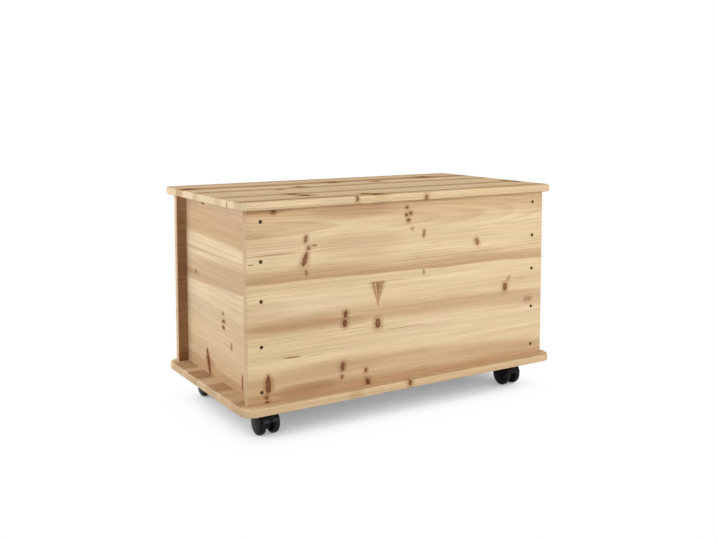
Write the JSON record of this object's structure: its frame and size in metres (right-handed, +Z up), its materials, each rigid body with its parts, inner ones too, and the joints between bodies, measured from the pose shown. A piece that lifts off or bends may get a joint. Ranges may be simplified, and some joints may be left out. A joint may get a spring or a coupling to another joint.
{
  "type": "toy chest",
  "caption": "Pine board toy chest with an overhanging rounded lid hinged at the rear and a rounded base board that rolls on swivelling twin-wheel casters.",
  "frame": {"origin": "on the floor under the middle of the chest's outer box", "axes": "+X along the length towards the right as seen from the front, +Y to the hinged rear, +Z up"},
  "size_m": [0.802, 0.437, 0.484],
  "materials": {
    "pine": "clear satin lacquer",
    "blackened_steel": "blackened, matt",
    "zinc_steel": "zinc plated",
    "black_plastic": "moulded, fine grain"
  },
  "bodies": {
    "chest": {"back_panel": "pine", "back_panel_screws": "blackened_steel", "base_board": "pine", "base_screws": "blackened_steel", "caster_screws": "zinc_steel", "front_left_caster_grip_ring": "zinc_steel", "front_left_caster_king_pin": "zinc_steel", "front_left_caster_plate": "zinc_steel", "front_panel": "pine", "front_panel_screws": "blackened_steel", "front_right_caster_grip_ring": "zinc_steel", "front_right_caster_king_pin": "zinc_steel", "front_right_caster_plate": "zinc_steel", "hinge_body_screws": "zinc_steel", "left_hinge_body_leaf": "zinc_steel", "left_hinge_pin": "zinc_steel", "left_side_panel": "pine", "rear_left_caster_grip_ring": "zinc_steel", "rear_left_caster_king_pin": "zinc_steel", "rear_left_caster_plate": "zinc_steel", "rear_right_caster_grip_ring": "zinc_steel", "rear_right_caster_king_pin": "zinc_steel", "rear_right_caster_plate": "zinc_steel", "right_hinge_body_leaf": "zinc_steel", "right_hinge_pin": "zinc_steel", "right_side_panel": "pine"},
    "lid": {"lid_board": "pine", "left_hinge_lid_leaf": "zinc_steel", "right_hinge_lid_leaf": "zinc_steel", "hinge_lid_screws": "zinc_steel"},
    "front_left_swivel": {"front_left_caster_hood": "black_plastic", "front_left_caster_axle": "zinc_steel"},
    "front_left_left_wheel": {"front_left_caster_left_wheel": "black_plastic"},
    "front_left_right_wheel": {"front_left_caster_right_wheel": "black_plastic"},
    "front_right_swivel": {"front_right_caster_hood": "black_plastic", "front_right_caster_axle": "zinc_steel"},
    "front_right_left_wheel": {"front_right_caster_left_wheel": "black_plastic"},
    "front_right_right_wheel": {"front_right_caster_right_wheel": "black_plastic"},
    "rear_left_swivel": {"rear_left_caster_hood": "black_plastic", "rear_left_caster_axle": "zinc_steel"},
    "rear_left_left_wheel": {"rear_left_caster_left_wheel": "black_plastic"},
    "rear_left_right_wheel": {"rear_left_caster_right_wheel": "black_plastic"},
    "rear_right_swivel": {"rear_right_caster_hood": "black_plastic", "rear_right_caster_axle": "zinc_steel"},
    "rear_right_left_wheel": {"rear_right_caster_left_wheel": "black_plastic"},
    "rear_right_right_wheel": {"rear_right_caster_right_wheel": "black_plastic"}
  },
  "joints": [
    {"name": "lid_hinge", "type": "hinge", "parent": "chest", "child": "lid", "pos_m": [0, 0.2019, 0.4646], "axis": [-1, 0, 0], "range_deg": [0, 100]},
    {"name": "front_left_swivel", "type": "hinge", "parent": "chest", "child": "front_left_swivel", "pos_m": [-0.322, -0.164, 0.05], "axis": [0, 0, 1], "continuous": true},
    {"name": "front_left_left_wheel_spin", "type": "hinge", "parent": "front_left_swivel", "child": "front_left_left_wheel", "pos_m": [-0.322, -0.1445, 0.025], "axis": [1, 0, 0], "continuous": true},
    {"name": "front_left_right_wheel_spin", "type": "hinge", "parent": "front_left_swivel", "child": "front_left_right_wheel", "pos_m": [-0.322, -0.1445, 0.025], "axis": [1, 0, 0], "continuous": true},
    {"name": "front_right_swivel", "type": "hinge", "parent": "chest", "child": "front_right_swivel", "pos_m": [0.322, -0.164, 0.05], "axis": [0, 0, 1], "continuous": true},
    {"name": "front_right_left_wheel_spin", "type": "hinge", "parent": "front_right_swivel", "child": "front_right_left_wheel", "pos_m": [0.322, -0.1445, 0.025], "axis": [1, 0, 0], "continuous": true},
    {"name": "front_right_right_wheel_spin", "type": "hinge", "parent": "front_right_swivel", "child": "front_right_right_wheel", "pos_m": [0.322, -0.1445, 0.025], "axis": [1, 0, 0], "continuous": true},
    {"name": "rear_left_swivel", "type": "hinge", "parent": "chest", "child": "rear_left_swivel", "pos_m": [-0.322, 0.169, 0.05], "axis": [0, 0, 1], "continuous": true},
    {"name": "rear_left_left_wheel_spin", "type": "hinge", "parent": "rear_left_swivel", "child": "rear_left_left_wheel", "pos_m": [-0.322, 0.1495, 0.025], "axis": [1, 0, 0], "continuous": true},
    {"name": "rear_left_right_wheel_spin", "type": "hinge", "parent": "rear_left_swivel", "child": "rear_left_right_wheel", "pos_m": [-0.322, 0.1495, 0.025], "axis": [1, 0, 0], "continuous": true},
    {"name": "rear_right_swivel", "type": "hinge", "parent": "chest", "child": "rear_right_swivel", "pos_m": [0.322, 0.169, 0.05], "axis": [0, 0, 1], "continuous": true},
    {"name": "rear_right_left_wheel_spin", "type": "hinge", "parent": "rear_right_swivel", "child": "rear_right_left_wheel", "pos_m": [0.322, 0.1495, 0.025], "axis": [1, 0, 0], "continuous": true},
    {"name": "rear_right_right_wheel_spin", "type": "hinge", "parent": "rear_right_swivel", "child": "rear_right_right_wheel", "pos_m": [0.322, 0.1495, 0.025], "axis": [1, 0, 0], "continuous": true}
  ]
}
